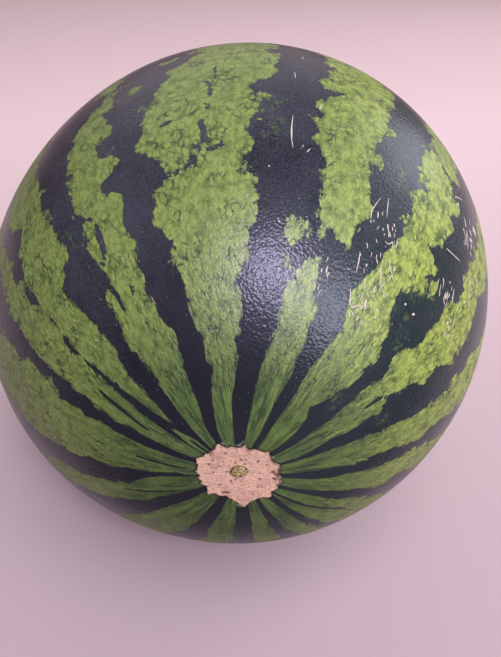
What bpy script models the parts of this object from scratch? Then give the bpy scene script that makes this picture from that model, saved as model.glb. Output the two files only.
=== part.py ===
"""A round striped watermelon, grown as one piece, lying on its side.

The stem-to-blossom axis runs along Y with the blossom end towards -Y. The fruit rests on a
small flat spot at z = 0, and the origin is under the middle of it. Angles on the fruit are
its colatitude, from the blossom end (0) to the stem end (pi), and its longitude round the
Y axis, from the top (0) towards +X (pi / 2).
"""

from math import acos, atan2, cos, exp, pi, radians, sin

import bmesh
import bpy
from mathutils import Vector

# Driving dimensions, in metres
GIRTH_RADIUS = 0.125  # mean radius round the middle
LENGTH_RATIO = 1.0263  # half length over girth radius
FOOT_DEPTH = 0.0028  # how far the resting spot is cut into the underside

# The girth is a little oval and a little three-cornered, as shares of the girth radius
OVAL, OVAL_TURN = 0.0212, radians(57.3)
LOBE, LOBE_TURN = 0.0078, radians(8.3)

# Relief at the two ends
BLOSSOM_DISH = 0.0012  # the corky blossom scar is very slightly sunken
BLOSSOM_DISH_EDGE = radians(9.0)
STYLE_NUB_HEIGHT = 0.0015
STYLE_NUB_EDGE = radians(2.2)
STEM_DIMPLE_DEPTH = 0.0050
STEM_DIMPLE_REACH = radians(9.0)
STEM_SCAR_HEIGHT = 0.0012
STEM_SCAR_EDGE = radians(3.6)

# Mesh lattice
COLUMNS = 60
ROWS = 48
ROW_CROWDING = 0.40  # draws the rows towards the two ends, where the relief is

# Finish of the rind: mean of its green stripes
RIND_COLOUR = (0.075, 0.125, 0.032, 1.0)
RIND_ROUGHNESS = 0.38


def ease(start, end, value):
    """Smooth step from 0 at start to 1 at end."""
    share = min(1.0, max(0.0, (value - start) / (end - start)))
    return share * share * (3.0 - 2.0 * share)


def relief(colatitude):
    """How far the skin stands out from the smooth oval, in metres."""
    from_stem = pi - colatitude
    dish = -BLOSSOM_DISH * (1.0 - ease(0.0, BLOSSOM_DISH_EDGE, colatitude))
    nub = STYLE_NUB_HEIGHT * (1.0 - ease(0.4 * STYLE_NUB_EDGE, STYLE_NUB_EDGE, colatitude))
    dimple = -STEM_DIMPLE_DEPTH * exp(-((from_stem / STEM_DIMPLE_REACH) ** 2))
    scar = STEM_SCAR_HEIGHT * (1.0 - ease(0.7 * STEM_SCAR_EDGE, STEM_SCAR_EDGE, from_stem))
    return dish + nub + dimple + scar


def skin_point(colatitude, longitude):
    """A point of the skin, about the fruit's own middle."""
    oval = OVAL * cos(2.0 * (longitude - OVAL_TURN)) + LOBE * cos(3.0 * (longitude - LOBE_TURN))
    girth = GIRTH_RADIUS * (1.0 + oval * sin(colatitude) ** 2) + relief(colatitude)
    along = GIRTH_RADIUS * LENGTH_RATIO + relief(colatitude)
    return Vector(
        (
            girth * sin(colatitude) * sin(longitude),
            -along * cos(colatitude),
            girth * sin(colatitude) * cos(longitude),
        )
    )


def shape_fruit(bm):
    """Turns a unit sphere, poles on Z, into the fruit, poles on Y."""
    bmesh.ops.create_uvsphere(bm, u_segments=COLUMNS, v_segments=ROWS, radius=1.0)
    for vert in bm.verts:
        even = acos(max(-1.0, min(1.0, vert.co.z)))
        colatitude = even - ROW_CROWDING * sin(2.0 * even)
        vert.co = skin_point(colatitude, atan2(vert.co.y, vert.co.x))


def cut_foot(bm):
    """Cuts the flat resting spot and closes it with one face."""
    level = min(vert.co.z for vert in bm.verts) + FOOT_DEPTH
    everything = bm.verts[:] + bm.edges[:] + bm.faces[:]
    bmesh.ops.bisect_plane(
        bm, geom=everything, dist=1e-6, plane_co=(0, 0, level), plane_no=(0, 0, 1), clear_inner=True
    )
    rim = [edge for edge in bm.edges if edge.is_boundary]
    bmesh.ops.contextual_create(bm, geom=rim)


def stand_on_origin(bm):
    """Moves the fruit so that its foot is at z = 0 and its box is centred over the origin."""
    low = [min(vert.co[axis] for vert in bm.verts) for axis in range(3)]
    high = [max(vert.co[axis] for vert in bm.verts) for axis in range(3)]
    offset = Vector((-(low[0] + high[0]) / 2.0, -(low[1] + high[1]) / 2.0, -low[2]))
    bmesh.ops.translate(bm, verts=bm.verts, vec=offset)


def rind_material():
    material = bpy.data.materials.new("rind")
    material.use_nodes = True
    shader = material.node_tree.nodes["Principled BSDF"]
    shader.inputs["Base Color"].default_value = RIND_COLOUR
    shader.inputs["Roughness"].default_value = RIND_ROUGHNESS
    shader.inputs["Metallic"].default_value = 0.0
    return material


def make_watermelon():
    bm = bmesh.new()
    shape_fruit(bm)
    cut_foot(bm)
    stand_on_origin(bm)
    bmesh.ops.recalc_face_normals(bm, faces=bm.faces)
    mesh = bpy.data.meshes.new("watermelon")
    bm.to_mesh(mesh)
    bm.free()
    mesh.shade_smooth()
    mesh.set_sharp_from_angle(angle=radians(40.0))
    mesh.materials.append(rind_material())
    watermelon = bpy.data.objects.new("watermelon", mesh)
    bpy.context.scene.collection.objects.link(watermelon)


for old in list(bpy.data.objects):
    bpy.data.objects.remove(old, do_unlink=True)
make_watermelon()
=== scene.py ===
"""Looks of a round striped watermelon lying on its side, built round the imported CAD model.

Every piece is first drawn on or near a ball of radius one, with the blossom end at -Z. The
geometry node group "fruit_skin" then pulls it onto the fruit, so all pieces share one form.
Angles on the fruit, in degrees, are its colatitude, from the blossom end (0) to the stem end
(180), and its longitude, from the top (0) towards +X (90). Patterns on the rind use the
"flow" of the skin, a cylinder 360 degrees round and 180 degrees long, in which one unit is
one degree and the meridians are parallel, because stripes and veins grow along them.
"""

import random
from math import cos, degrees, pi, radians, sin, sqrt

import bmesh
import bpy
import numpy as np
from mathutils import Euler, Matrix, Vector, noise


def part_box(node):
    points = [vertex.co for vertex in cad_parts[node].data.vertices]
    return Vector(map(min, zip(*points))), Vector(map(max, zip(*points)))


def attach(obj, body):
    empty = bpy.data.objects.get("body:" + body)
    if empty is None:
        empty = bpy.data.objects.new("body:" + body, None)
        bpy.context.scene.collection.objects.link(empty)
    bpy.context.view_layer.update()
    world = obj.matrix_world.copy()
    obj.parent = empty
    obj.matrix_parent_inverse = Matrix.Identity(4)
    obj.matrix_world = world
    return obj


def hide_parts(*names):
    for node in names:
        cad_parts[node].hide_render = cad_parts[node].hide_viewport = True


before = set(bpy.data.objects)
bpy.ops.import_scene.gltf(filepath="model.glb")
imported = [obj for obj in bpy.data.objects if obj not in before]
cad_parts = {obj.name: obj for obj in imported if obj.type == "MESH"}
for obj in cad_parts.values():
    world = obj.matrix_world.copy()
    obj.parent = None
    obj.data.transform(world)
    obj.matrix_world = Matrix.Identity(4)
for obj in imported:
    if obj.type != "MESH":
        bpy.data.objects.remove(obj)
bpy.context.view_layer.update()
FRUIT = "watermelon"
BODY = "root"

# Form of the fruit, as shares of its girth radius
LENGTH_RATIO = 1.0263
OVAL, OVAL_TURN = 0.0212, radians(57.3)
LOBE, LOBE_TURN = 0.0078, radians(8.3)
BLOSSOM_DISH, BLOSSOM_DISH_EDGE = 0.0096, radians(9.0)
STEM_DIMPLE, STEM_DIMPLE_REACH = 0.040, radians(9.0)
WAVINESS, WAVE_SCALE = 0.0035, 2.6
FOOT_DEPTH = 0.0224

# Mesh lattice of the rind
RIND_COLUMNS, RIND_ROWS = 400, 240

# Stripes: colatitude, then the longitudes of the left and right edge of a light stripe
LIGHT_STRIPES = {
    "crown_left": [
        (0, -24, -8), (10, -21, -6), (16, -16, -4), (20, -12, -1), (26, -15, 0), (34, -16, 0),
        (38, -19, 2), (41, -15, 3), (45, -21, 4), (50, -19, 4), (52, -15, 0), (53, -9, 1),
        (57, -8, 3), (60, -7, 1), (65, -6, 4), (69, -6, 4), (71, -6, 1), (76, -9, 6),
        (81, -12, 8), (88, -8, 7), (100, -10, 6), (120, -13, 5), (145, -14, 3), (180, -12, 2),
    ],
    "crown_left_lobe": [
        (54, -15, -12), (56, -18, -9), (60, -21, -7), (63, -18, -7), (67, -20, -6),
        (72, -18, -4), (78, -15, -3), (84, -11, -3), (90, -9, -4),
    ],
    "crown_right_head": [
        (0, 8, 20), (10, 8, 22), (20, 10, 24), (26, 12, 24), (32, 13, 23), (36, 14.5, 22), (38, 16, 20.5),
    ],
    "crown_right": [
        (44.2, 19.5, 26.5), (45.4, 17, 27.5), (47, 16.3, 28.5), (49, 16.3, 30), (51, 17, 30),
        (52, 17, 27.5), (56, 16.5, 27), (60, 15, 28),
        (64, 15, 28), (69, 16, 30), (73, 18, 30), (76, 15, 30), (85, 18, 32), (105, 17, 33),
        (130, 14, 30), (180, 13, 27),
    ],
    "right_upper": [
        (0, 30, 51), (12, 30, 50), (15, 31, 47), (17, 31, 42), (20, 31, 49), (30, 33, 51),
        (36, 33, 48), (40, 35, 44), (45, 37, 51), (50, 38, 51), (52, 38, 46), (54, 38, 50),
        (60, 38, 51), (62, 40, 49), (66, 38, 52), (70, 39, 47), (74, 41, 52), (80, 41, 50),
        (95, 42, 54), (120, 40, 53), (180, 38, 52),
    ],
    "right": [
        (0, 58, 76), (10, 59, 75), (15, 58, 71), (26, 58, 71), (29, 58, 68), (33, 56, 70),
        (37, 58, 72), (40, 60, 72), (45, 60, 75), (53, 62, 74), (59, 61, 70), (66, 62, 71),
        (75, 60, 74), (90, 62, 73), (120, 60, 76), (180, 60, 74),
    ],
    "right_lower": [
        (0, 81, 98), (12, 79, 95), (20, 79, 95), (26, 81, 94), (36, 82, 95), (46, 82, 94),
        (54, 81, 95), (64, 83, 96), (72, 80, 93), (84, 83, 98), (100, 81, 95), (125, 83, 97),
        (180, 82, 96),
    ],
    "low_right_a": [
        (0, 104, 118), (15, 104, 117), (24, 101, 116), (33, 101, 115), (36, 100, 111),
        (43, 102, 114), (52, 103, 113), (62, 101, 116), (74, 104, 114), (90, 102, 117),
        (120, 104, 116), (180, 103, 117),
    ],
    "low_right_b": [
        (0, 122, 132), (16, 122, 141), (30, 122, 142), (44, 125, 139), (58, 122, 137),
        (70, 125, 141), (86, 122, 136), (110, 124, 140), (180, 123, 138),
    ],
    "low_right_c": [
        (0, 144, 153), (14, 145, 155), (28, 147, 156), (46, 146, 157), (66, 148, 158),
        (90, 146, 156), (130, 147, 158), (180, 146, 156),
    ],
    "under": [
        (0, 158, 167), (10, 160, 170), (18, 162, 172), (30, 162, 174), (48, 164, 175),
        (70, 163, 176), (100, 165, 177), (140, 163, 174), (180, 163, 173),
    ],
    "low_left_c": [
        (0, -177, -165), (16, -177, -163), (28, -177, -165), (46, -175, -163), (64, -178, -166),
        (88, -176, -162), (120, -177, -165), (180, -176, -164),
    ],
    "low_left_b": [
        (0, -150, -133), (14, -153, -132), (28, -154, -133), (44, -151, -136), (60, -153, -134),
        (76, -150, -137), (96, -153, -135), (130, -151, -134), (180, -151, -135),
    ],
    "low_left_a": [
        (0, -121, -99), (14, -121, -101), (18, -122, -104), (21, -122, -109), (30, -121, -108),
        (44, -118, -107), (58, -121, -110), (72, -118, -106), (90, -121, -109), (120, -119, -107),
        (180, -120, -108),
    ],
    "left_lower": [
        (0, -98, -76), (16, -97, -76), (30, -98, -75), (44, -97, -73), (54, -94, -76),
        (62, -96, -80), (70, -93, -78), (82, -95, -77), (98, -92, -79), (125, -94, -77),
        (180, -94, -78),
    ],
    "left": [
        (0, -67, -57), (12, -69, -57), (28, -69, -57), (40, -69, -57), (46, -69, -57),
        (50, -68, -60), (56, -68, -61), (64, -66, -61), (72, -69, -62), (82, -70, -62),
        (100, -69, -60), (130, -71, -61), (180, -68, -60),
    ],
    "left_inner": [
        (15, -50, -48), (19, -52, -47), (24, -54, -47), (29, -55, -46), (33, -58, -45),
        (40, -58, -47), (43, -58, -48), (47, -58, -44), (53, -57, -44), (60, -56, -45),
        (62, -54, -45), (67, -58, -46), (74, -60, -47), (82, -58, -45), (95, -55, -43),
        (125, -54, -42), (180, -52, -42),
    ],
    "left_feather": [
        (0, -54, -46), (8, -55, -46), (10, -55, -47), (11.5, -54, -49), (13, -53, -51),
    ],
    "left_upper": [
        (0, -42, -32), (10, -41, -31), (15, -40, -26), (22, -39, -24), (27, -39, -23),
        (32, -39, -26), (35, -37.5, -27.5), (38, -37.2, -27), (39.4, -34.5, -26), (43, -35, -25),
        (45, -37, -26), (47, -38, -26), (52, -37.5, -26), (54, -37.5, -28.5), (56, -37.5, -29.5),
        (57.5, -37.5, -26.5), (60, -37.5, -25.5), (62.5, -36, -28), (65, -37.5, -28.5),
        (68.5, -37.5, -26), (71, -35.5, -26), (74, -35, -27.5), (76.5, -34, -26.5),
        (79, -30.5, -25.5), (83, -29, -24), (88, -30, -26),
        (105, -33, -25), (130, -34, -26), (180, -33, -25),
    ],
}

# Light islands: colatitude and longitude of the middle, half length, half width and how far
# the island sinks into the dark skin, in degrees
LIGHT_ISLANDS = [
    (42.0, 13.3, 3.1, 2.3, 0.3), (38.6, 11.8, 1.1, 1.2, 0.5), (44.4, 12.6, 1.6, 1.3, 0.2),
    (77.5, -21, 1.4, 2.2, 0.0),
    (46, 53, 0.9, 1.1, 0.0), (88, -14, 1.6, 1.8, 0.0),
]

# Faint green mottles in the dark stripes: colatitude, longitude, half length, half width
FAINT_MOTTLES = [
    (58, 6, 2.4, 2.6), (62, 7, 2.6, 2.4), (67, 6, 3.0, 3.0), (60, 34, 3.0, 3.0),
    (62, 38, 2.0, 2.0), (43, 49, 2.0, 3.0), (40, 46, 2.4, 3.0), (46, 53, 2.6, 3.4),
    (35, 54, 3.0, 3.0), (38, 51, 2.0, 2.6), (21, 52, 3.0, 4.0), (27, 75, 3.0, 4.0),
    (50, -41, 3.0, 3.0), (92, 12, 4.0, 3.0), (116, 12, 5.0, 4.0), (104, -38, 5.0, 5.0),
    (88, 78, 5.0, 4.0), (120, 96, 6.0, 5.0), (96, -84, 5.0, 5.0), (134, -58, 6.0, 6.0),
]

# Dark clefts inside the light stripes: points of colatitude and longitude
DARK_CLEFTS = [
    [(55, -9), (58, -7.5), (62, -7.2), (66, -6.3), (70, -5.5), (74, -6)],
    [(74, -5), (78, -4.5), (82, -4.7)],
    [(63.4, -19.5), (63.2, -16), (64.5, -13)],
    [(24, -1), (23.6, -3.5)],
    [(8, 133), (16, 132.5), (26, 130), (38, 134)],
    [(12, -118), (18, -115.5), (24, -113)],
    [(10, -97), (14, -97.5)],
    [(9, -88), (13, -87), (18, -86)],
    [(17, -64), (22, -62.5), (28, -61.8)],
    [(30, -56.5), (36, -57.5), (42, -56.5)],
    [(6, -50), (10, -50.5)],
    [(24, 65), (27, 65.5), (29, 68)],
    [(37, -30), (35, -30.5)],
    [(72.5, 17), (74, 19.5)],
    [(80, 39), (78, 40.5), (74.5, 43), (72, 46), (69.5, 49.5), (68.4, 51.5)],
    [(56, -8), (56.4, -5), (57.5, -3)],
]
CLEFT_HALF_WIDTH, CLEFT_STEEPNESS = 0.28, 4.0
FAR_OUTSIDE = -30.0  # what skin far from any light stripe gets, in degrees

# Wider clefts that all but cut off a piece of the stripe: half width, then the points
WIDE_CLEFTS = [
    (0.50, [
        (52.5, -37.5), (51.2, -34.2), (49.6, -33.3), (48, -33.4), (45, -33.6), (43, -34.4), (42, -36),
    ]),
    (0.35, [(40, -37), (37.9, -35.2), (35.5, -35), (34, -35)]),
]

# Outline of the corky blossom scar: longitude and radius in degrees
SCAR_OUTLINE = [
    (-177, 7.8), (-170, 7.2), (-161, 6.6), (-150, 6.9), (-142, 6.8), (-136, 8.1), (-129, 7.2),
    (-122, 6.8), (-114, 7.4), (-109, 6.9), (-104, 7.4), (-97, 6.9), (-90, 7.6), (-84, 7.1),
    (-77, 7.2), (-69, 7.9), (-62, 7.0), (-54, 7.0), (-43, 6.7), (-36, 6.9), (-30, 7.3),
    (-24, 6.3), (-19, 5.7), (-12, 5.9), (-7, 5.6), (-2, 5.4), (4, 5.8), (9, 6.5), (13, 5.6),
    (18, 5.3), (27, 5.9), (36, 5.8), (43, 6.1), (48, 6.8), (55, 6.3), (62, 6.0), (70, 6.2),
    (79, 7.1), (88, 6.6), (95, 6.9), (101, 7.6), (106, 7.3), (112, 8.1), (118, 7.8), (124, 8.2),
    (133, 7.6), (140, 8.8), (148, 7.8), (158, 7.7), (166, 8.1), (174, 9.4),
]
SCAR_COLUMNS, SCAR_RINGS = 240, 30
SCAR_RING_SPREAD = 0.85  # below 1, the rings crowd towards the rim
SCAR_THICKNESS, SCAR_RIM_CURL = 0.0024, 0.0022
SCAR_NEIGHBOURHOOD = 14.0  # colatitude up to which the way past the rim is worked out

# Pits in the scar: share of the way out to the rim, and longitude
SCAR_PITS = [
    (0.52, -52), (0.75, -60), (0.72, -72), (0.48, -70), (0.62, -93), (0.30, -55), (0.34, -20),
    (0.45, 6), (0.55, 22), (0.33, 30), (0.66, 2), (0.78, 72), (0.84, 92), (0.50, 98), (0.52, 118),
    (0.28, 172), (0.33, -163), (0.42, -150), (0.50, -158), (0.60, -134), (0.88, 150), (0.80, 158),
    (0.62, 54), (0.86, -116), (0.30, -95), (0.22, -100), (0.7, -28), (0.58, 140),
]
PIT_RADIUS, PIT_DEPTH = 0.28, 0.0016

# Torn places at the scar's rim: share of the way out, longitude, and the half sizes of both
SCAR_TEARS = [
    (0.92, 97, 0.09, 9), (0.86, 107, 0.06, 6), (0.87, -156, 0.06, 9), (0.96, 113, 0.05, 9),
]

STYLE_NUB_RADIUS, STYLE_NUB_HEIGHT = 1.52, 0.012
STYLE_NUB_COLUMNS, STYLE_NUB_RINGS = 72, 16
STEM_SCAR_RADIUS, STEM_SCAR_HEIGHT = 3.4, 0.011
STEM_SCAR_COLUMNS, STEM_SCAR_RINGS = 120, 22

# How deep the undersides of the corky buttons and the middles of the scratches lie in the rind
BLOSSOM_SINK, STEM_SINK, SCRATCH_SINK = 0.006, 0.012, 0.0006

# Single corky scratches: points of colatitude and longitude, then the width in degrees
LONG_SCRATCHES = [
    ([(57.5, 10.6), (59.5, 10.1), (62, 10.0), (64.8, 10.2)], 0.30),
    ([(67.5, 15.2), (69.2, 15.6)], 0.34),
    ([(57.2, 13.4), (58.2, 14.1)], 0.22),
    ([(58.0, 12.4), (58.6, 12.6)], 0.18),
    ([(31.5, -24.4), (34, -25.7), (37, -26.1), (39.5, -26.0), (41.3, -25.4)], 0.13),
    ([(32.5, -25.2), (35.5, -26.3), (38.5, -26.6)], 0.08),
    ([(75.5, 10.6), (78, 10.4)], 0.20),
    ([(85, 12.2), (87.5, 12.6)], 0.20),
    ([(84.5, 17.8), (88, 18.6)], 0.24),
    ([(55.8, 51.0), (56.4, 53.5), (57.4, 56.8)], 0.28),
    ([(39.2, 23.0), (37.7, 23.4), (36.9, 24.2)], 0.20),
    ([(33.6, 22.6), (35.2, 23.4)], 0.15),
    ([(43.2, 30.0), (41.6, 30.5), (39.9, 31.0)], 0.30),
    ([(44.4, 34.2), (43.8, 34.5), (43.1, 35.5)], 0.28),
    ([(45.2, 35.0), (44.1, 35.5)], 0.18),
    ([(43.4, 36.5), (42.4, 36.9), (42.0, 37.6), (41.1, 37.9), (40.2, 38.5)], 0.28),
    ([(45.5, 37.5), (44.4, 38.2), (43.5, 39.5), (43.1, 40.5), (42.1, 40.0), (41.3, 40.0)], 0.24),
    ([(43.1, 40.5), (42.5, 41.0)], 0.20),
    ([(41.5, 39.2), (40.8, 39.5), (40.0, 39.0), (39.2, 39.2)], 0.24),
    ([(39.9, 33.9), (39.3, 34.4), (38.7, 34.6), (38.1, 35.1)], 0.22),
    ([(39.9, 37.4), (39.3, 37.6), (38.5, 38.0)], 0.24),
    ([(37.2, 34.4), (36.6, 34.6)], 0.20),
    ([(37.3, 31.0), (36.3, 32.0), (35.2, 32.5), (34.6, 33.5)], 0.26),
    ([(34.6, 33.4), (34.7, 34.5), (35.3, 35.1), (35.6, 36.0), (35.4, 37.5)], 0.26),
    ([(37.1, 36.8), (36.2, 37.2), (35.4, 38.0)], 0.52),
    ([(37.4, 38.6), (36.3, 39.4)], 0.30),
    ([(34.1, 33.8), (33.5, 34.2), (33.0, 34.9)], 0.28),
    ([(33.9, 34.8), (33.5, 36.0)], 0.26),
    ([(33.7, 39.5), (33.2, 40.0)], 0.55),
    ([(42.1, 32.5), (41.5, 32.9)], 0.22),
    ([(39.7, 28.4), (39.9, 29.1)], 0.22),
    ([(55.0, 32.4), (52.6, 33.0), (51.1, 33.5)], 0.24),
    ([(54.5, 31.0), (52.7, 30.1), (50.8, 29.5), (48.7, 30.0)], 0.20),
    ([(51.4, 31.0), (50.2, 31.4)], 0.34),
    ([(50.3, 34.0), (49.3, 34.8), (48.5, 36.0)], 0.32),
    ([(47.3, 34.8), (47.1, 36.0), (48.0, 36.8), (46.9, 37.5)], 0.24),
    ([(45.2, 31.0), (44.4, 31.4)], 0.26),
    ([(48.8, 38.0), (47.4, 38.2)], 0.30),
    ([(50.4, 57.5), (48.9, 59.0)], 0.22),
    ([(49.7, 54.5), (48.0, 55.5)], 0.22),
    ([(52.2, 59.0), (50.6, 60.3), (49.9, 61.5)], 0.24),
    ([(64.8, 57.5), (64.9, 59.0)], 0.5), ([(68.4, 60.5), (69.6, 58.5)], 0.30),
    ([(68.7, 49.5), (70.9, 52.5)], 0.30),
    ([(46.6, 36.8), (46.4, 37.2)], 0.40), ([(44.1, 40.0), (43.9, 40.3)], 0.40),
    ([(38.6, 36.9), (38.4, 37.3)], 0.44), ([(39.8, 41.4), (39.6, 41.8)], 0.40),
    ([(36.8, 41.4), (36.5, 41.9)], 0.40), ([(35.6, 41.9), (35.4, 42.3)], 0.40),
    ([(41.0, 47.8), (40.8, 48.3)], 0.50), ([(41.0, 51.7), (40.7, 52.3)], 0.72),
    ([(44.2, 8.9), (43.9, 9.3)], 0.40), ([(53.6, 5.9), (53.3, 6.2)], 0.30),
    ([(47.6, 1.5), (48.4, 2.0)], 0.14),
]

# Patches of small scratches: colatitude and longitude of the middle, half length, half width,
# how many there are, the mean length of one, and how far they turn off the meridian
SCRATCH_PATCHES = [
    (35.5, 36.0, 2.4, 3.8, 12, 0.8, -38), (41.0, 38.0, 3.4, 3.6, 10, 0.8, -34),
    (47.8, 35.8, 3.0, 2.2, 10, 0.7, -30), (50.5, 32.5, 3.0, 2.8, 6, 0.6, -12),
    (49.5, 57.0, 2.4, 3.6, 14, 1.2, -34), (37.5, 23.0, 3.0, 1.8, 7, 0.7, 10),
    (46.8, 66.0, 2.0, 3.4, 14, 1.0, -60), (56.5, 64.5, 3.0, 3.0, 12, 1.1, -40),
    (65.5, 58.0, 3.6, 4.0, 20, 1.6, -30), (43.5, 31.5, 3.6, 3.0, 8, 0.7, -30),
    (67.5, 49.0, 2.4, 3.4, 8, 1.0, -20), (118, -60, 7, 6, 14, 1.5, 5),
    (97, 128, 8, 5, 12, 1.5, 10), (140, 25, 6, 9, 10, 1.4, 0),
]
SCRATCH_SEED = 11
SLIVER_STEPS, SLIVER_SIDES = 9, 6

# Camera, in girth radii from the middle of the fruit
CAMERA_OFFSET = Vector((-0.0043, -2.3956, 1.4495))
CAMERA_PITCH, CAMERA_ROLL, CAMERA_YAW = radians(55.94), radians(-0.63), radians(-0.93)
CAMERA_LENS, CAMERA_SENSOR = 35.51, 36.0


# ---------------------------------------------------------------- node arithmetic


class Wire:
    """An output socket whose arithmetic adds Math nodes to its tree."""

    def __init__(self, tree, socket):
        self.tree, self.socket = tree, socket

    def __add__(self, other):
        return calc(self.tree, "ADD", self, other)

    def __radd__(self, other):
        return calc(self.tree, "ADD", other, self)

    def __sub__(self, other):
        return calc(self.tree, "SUBTRACT", self, other)

    def __rsub__(self, other):
        return calc(self.tree, "SUBTRACT", other, self)

    def __mul__(self, other):
        return calc(self.tree, "MULTIPLY", self, other)

    def __rmul__(self, other):
        return calc(self.tree, "MULTIPLY", other, self)

    def __truediv__(self, other):
        return calc(self.tree, "DIVIDE", self, other)


def feed(tree, socket, value):
    """Puts a number, a vector or the output of another node on an input."""
    if isinstance(value, Wire):
        tree.links.new(value.socket, socket)
    else:
        socket.default_value = value


def calc(tree, operation, *values):
    """A Math node, for instance calc(tree, "SINE", angle)."""
    node = tree.nodes.new("ShaderNodeMath")
    node.operation = operation
    for socket, value in zip(node.inputs, values):
        feed(tree, socket, value)
    return Wire(tree, node.outputs[0])


def clamp01(tree, value):
    node = tree.nodes.new("ShaderNodeClamp")
    feed(tree, node.inputs["Value"], value)
    return Wire(tree, node.outputs[0])


def vector_calc(tree, operation, *values):
    """A Vector Math node. Its first output that the operation fills is returned."""
    node = tree.nodes.new("ShaderNodeVectorMath")
    node.operation = operation
    places = [s for s in node.inputs if s.enabled]
    for socket, value in zip(places, values):
        feed(tree, socket, value)
    output = "Value" if operation in ("LENGTH", "DOT_PRODUCT", "DISTANCE") else "Vector"
    return Wire(tree, node.outputs[output])


def scaled(tree, vector, factor):
    node = tree.nodes.new("ShaderNodeVectorMath")
    node.operation = "SCALE"
    feed(tree, node.inputs[0], vector)
    feed(tree, node.inputs["Scale"], factor)
    return Wire(tree, node.outputs["Vector"])


def split(tree, vector):
    node = tree.nodes.new("ShaderNodeSeparateXYZ")
    feed(tree, node.inputs[0], vector)
    return [Wire(tree, socket) for socket in node.outputs]


def joined(tree, x, y, z):
    node = tree.nodes.new("ShaderNodeCombineXYZ")
    for socket, value in zip(node.inputs, (x, y, z)):
        feed(tree, socket, value)
    return Wire(tree, node.outputs[0])


def ramp01(tree, value, start, end, smooth=True):
    """0 at start and 1 at end, clamped, with a smooth or a straight rise."""
    node = tree.nodes.new("ShaderNodeMapRange")
    node.interpolation_type = "SMOOTHSTEP" if smooth else "LINEAR"
    feed(tree, node.inputs["Value"], value)
    feed(tree, node.inputs["From Min"], start)
    feed(tree, node.inputs["From Max"], end)
    return Wire(tree, node.outputs["Result"])


def noise_at(tree, vector, scale, detail=2.0, roughness=0.5, output=0):
    node = tree.nodes.new("ShaderNodeTexNoise")
    feed(tree, node.inputs["Vector"], vector)
    feed(tree, node.inputs["Scale"], scale)
    feed(tree, node.inputs["Detail"], detail)
    feed(tree, node.inputs["Roughness"], roughness)
    return Wire(tree, node.outputs[output])


def cells_at(tree, vector, scale, feature="F1", jitter=1.0, output="Distance"):
    node = tree.nodes.new("ShaderNodeTexVoronoi")
    node.feature = feature
    feed(tree, node.inputs["Vector"], vector)
    feed(tree, node.inputs["Scale"], scale)
    feed(tree, node.inputs["Randomness"], jitter)
    return Wire(tree, node.outputs[output])


def mixed(tree, share, first, second):
    """A colour between first and second."""
    node = tree.nodes.new("ShaderNodeMix")
    node.data_type = "RGBA"
    feed(tree, node.inputs[0], share)
    for index, value in ((6, first), (7, second)):
        if isinstance(value, tuple) and len(value) == 3:
            value = (*value, 1.0)
        feed(tree, node.inputs[index], value)
    return Wire(tree, node.outputs[2])


def add_socket(tree, name, kind, side="INPUT", default=None):
    socket = tree.interface.new_socket(name=name, in_out=side, socket_type=kind)
    if default is not None:
        socket.default_value = default
    return socket


# ---------------------------------------------------------------- form of the fruit

SKIN_SIZES = {
    "Girth radius": 1.0,
    "Length ratio": LENGTH_RATIO,
    "Oval": OVAL,
    "Oval turn": OVAL_TURN,
    "Lobe": LOBE,
    "Lobe turn": LOBE_TURN,
    "Blossom dish": BLOSSOM_DISH,
    "Blossom dish edge": BLOSSOM_DISH_EDGE,
    "Stem dimple": STEM_DIMPLE,
    "Stem dimple reach": STEM_DIMPLE_REACH,
    "Waviness": WAVINESS,
    "Wave scale": WAVE_SCALE,
    "Foot height": -10.0,
}


def fruit_skin_group():
    """Node group that pulls a point near the unit ball to its place on the fruit."""
    tree = bpy.data.node_groups.new("fruit_skin", "GeometryNodeTree")
    add_socket(tree, "Geometry", "NodeSocketGeometry")
    for name, value in SKIN_SIZES.items():
        add_socket(tree, name, "NodeSocketFloat", default=value)
    add_socket(tree, "Middle", "NodeSocketVector", default=(0.0, 0.0, 0.0))
    add_socket(tree, "Geometry", "NodeSocketGeometry", side="OUTPUT")
    start = tree.nodes.new("NodeGroupInput")
    size = {s.name: Wire(tree, s) for s in start.outputs if s.name}

    point = Wire(tree, tree.nodes.new("GeometryNodeInputPosition").outputs[0])
    reach = vector_calc(tree, "LENGTH", point)
    way = scaled(tree, point, calc(tree, "DIVIDE", 1.0, reach))
    x, y, z = split(tree, way)
    colatitude = calc(tree, "ARCCOSINE", z * -1.0)
    longitude = calc(tree, "ARCTAN2", y, x)

    two_lobes = calc(tree, "COSINE", (longitude - size["Oval turn"]) * 2.0) * size["Oval"]
    three_lobes = calc(tree, "COSINE", (longitude - size["Lobe turn"]) * 3.0) * size["Lobe"]
    girth_share = x * x + y * y
    dish = (ramp01(tree, colatitude, 0.0, size["Blossom dish edge"]) - 1.0) * size["Blossom dish"]
    from_stem = (pi - colatitude) / size["Stem dimple reach"]
    dimple = calc(tree, "EXPONENT", from_stem * from_stem * -1.0) * size["Stem dimple"]
    wave = (noise_at(tree, way, size["Wave scale"]) - 0.5) * size["Waviness"]
    relief = dish - dimple + wave + reach - 1.0

    girth = ((two_lobes + three_lobes) * girth_share + 1.0 + relief) * size["Girth radius"]
    along = (size["Length ratio"] + relief) * size["Girth radius"]
    placed = vector_calc(tree, "ADD", joined(tree, girth * y, along * z, girth * x), size["Middle"])
    place_x, place_y, place_z = split(tree, placed)
    resting = joined(tree, place_x, place_y, calc(tree, "MAXIMUM", place_z, size["Foot height"]))

    move = tree.nodes.new("GeometryNodeSetPosition")
    finish = tree.nodes.new("NodeGroupOutput")
    feed(tree, move.inputs["Geometry"], size["Geometry"])
    feed(tree, move.inputs["Position"], resting)
    tree.links.new(move.outputs[0], finish.inputs[0])
    return tree


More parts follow.
